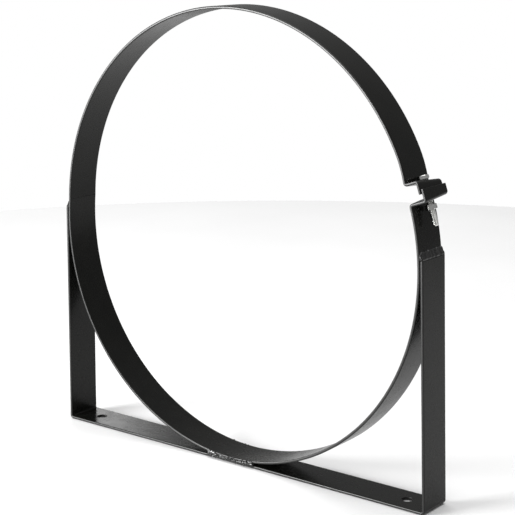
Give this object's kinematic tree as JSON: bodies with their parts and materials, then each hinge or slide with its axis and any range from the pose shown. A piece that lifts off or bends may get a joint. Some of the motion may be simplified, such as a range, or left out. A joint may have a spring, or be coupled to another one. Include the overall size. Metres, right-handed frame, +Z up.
{
  "type": "ring clamp bracket",
  "caption": "U-shaped flat-strip bracket with a split strap ring welded into it; a bolt through two turned-out ends closes the ring round a pipe.",
  "frame": {"origin": "centre of the underside of the flat base, midway between the two screw holes", "axes": "+X along the base towards the side with the bolted closure, +Y across the strap, from the front edge to the back edge, +Z up from the base towards the top of the ring"},
  "size_m": [0.4748, 0.0452, 0.4725],
  "materials": {
    "black_coat": "semi-gloss black powder coat on bent steel strip",
    "weld_coat": "the same black coat over rough weld beads",
    "zinc": "bright zinc-plated steel, slightly worn"
  },
  "bodies": {
    "frame": {"u_bracket": "black_coat", "ring_strap_welded": "black_coat", "weld_left_leg": "weld_coat", "weld_right_leg": "weld_coat", "weld_base_front": "weld_coat", "weld_base_back": "weld_coat"},
    "ring_jaw": {"ring_strap_free": "black_coat"},
    "bolt": {"clamp_bolt": "zinc"},
    "nut": {"clamp_nut": "zinc"}
  },
  "joints": [
    {"name": "ring_flex", "type": "hinge", "parent": "frame", "child": "ring_jaw", "pos_m": [-0.22653, 0, 0.25711], "axis": [0, -1, 0], "range_deg": [-0.15, 0.15], "stiffness_Nm_per_rad": 70, "springref_deg": 1.05},
    {"name": "bolt_spin", "type": "hinge", "parent": "ring_jaw", "child": "bolt", "pos_m": [0.2222, 0, 0.30781], "axis": [-0.3256, 0, 0.9455], "range_deg": [-545, 5048]},
    {"name": "nut_travel", "type": "slide", "parent": "ring_jaw", "child": "nut", "axis": [-0.3256, 0, 0.9455], "range_m": [-0.014, 0.0015]}
  ],
  "couplings": [
    {"joint": "bolt_spin", "follows": "nut_travel", "rad_per_m": -6283.2}
  ]
}
